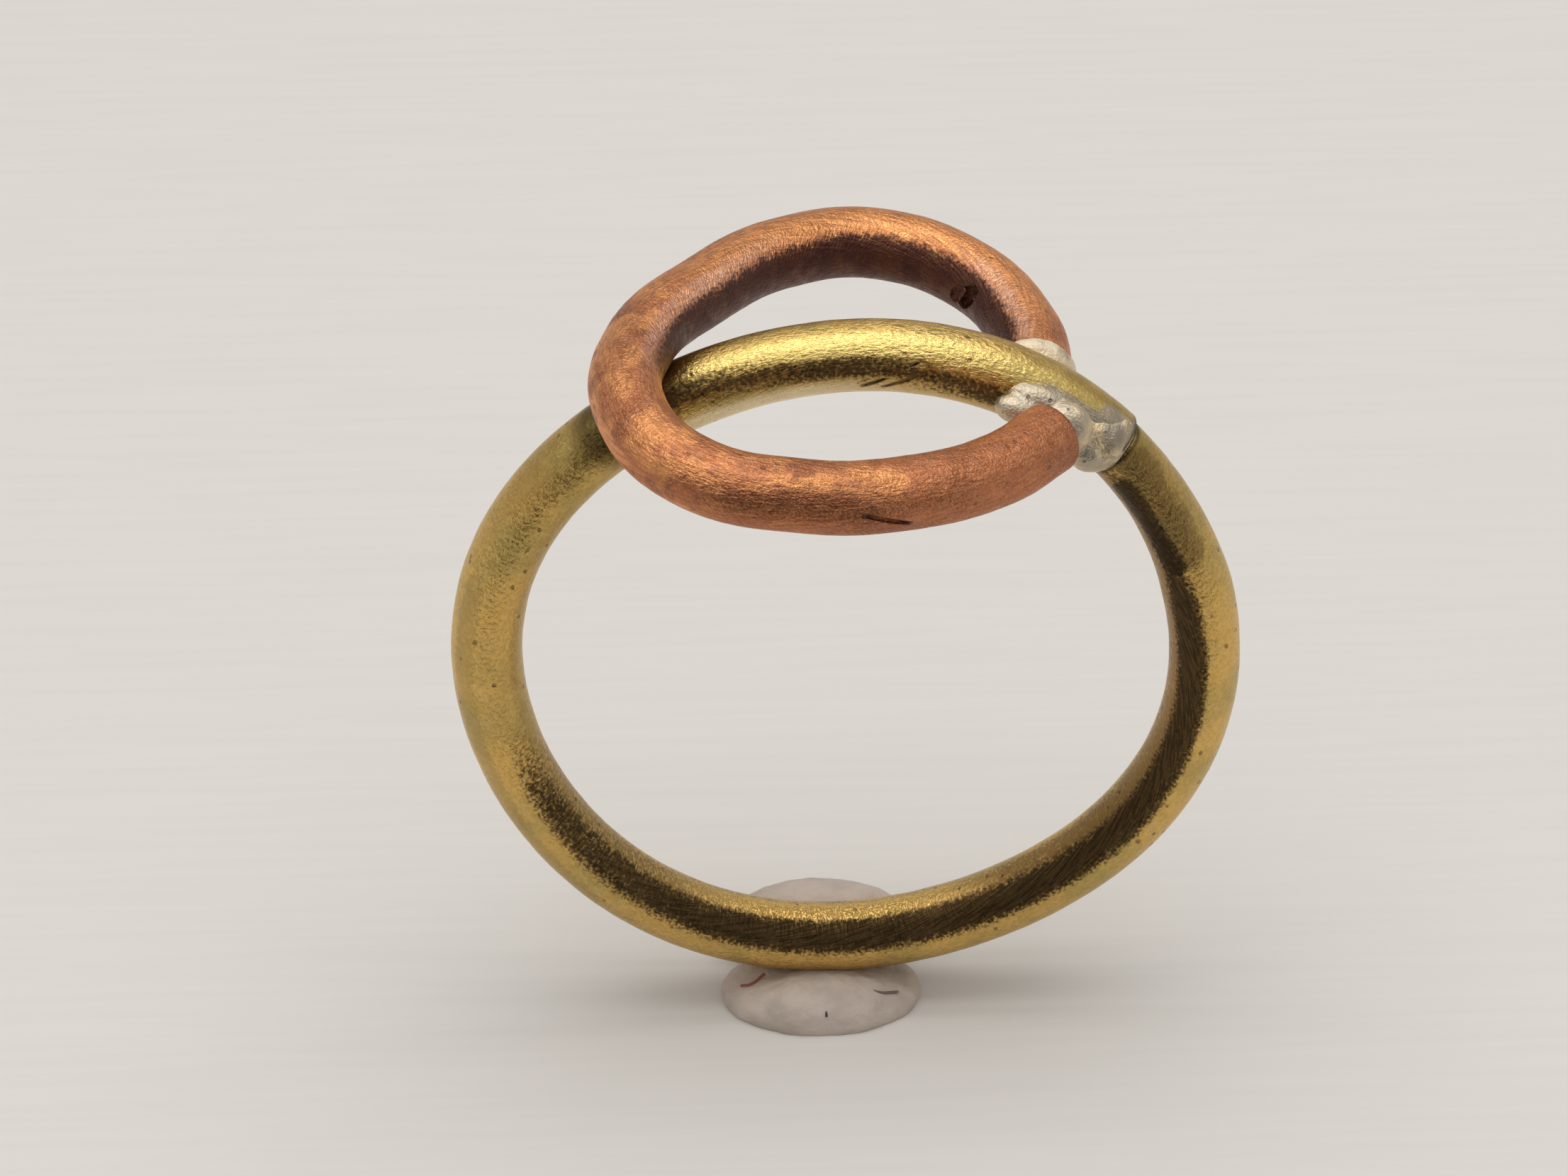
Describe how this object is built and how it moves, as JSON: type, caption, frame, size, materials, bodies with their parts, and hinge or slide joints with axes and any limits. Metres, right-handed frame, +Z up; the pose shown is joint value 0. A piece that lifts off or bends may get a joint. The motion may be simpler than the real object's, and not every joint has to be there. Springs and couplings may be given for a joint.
{
  "type": "finger ring",
  "caption": "Round wire finger ring with a bent open wire loop soldered across its top, worn as jewellery.",
  "frame": {"origin": "centre of the finger hole, halfway between the band's two faces", "axes": "+Y along the finger, from the side where the loop's open end lies in front to the back; +Z up from the finger towards the loop; +X towards the loop's two soldered ends"},
  "size_m": [0.0222, 0.015, 0.0228],
  "materials": {
    "brass": "satin brushed brass wire, hand-filed, with dark oxide speckles on the inner side",
    "copper": null,
    "solder": null
  },
  "bodies": {
    "root": {"brass_band": "brass", "copper_loop": "copper", "front_joint_solder": "solder", "back_joint_solder": "solder", "seam_solder": "solder"}
  },
  "joints": []
}
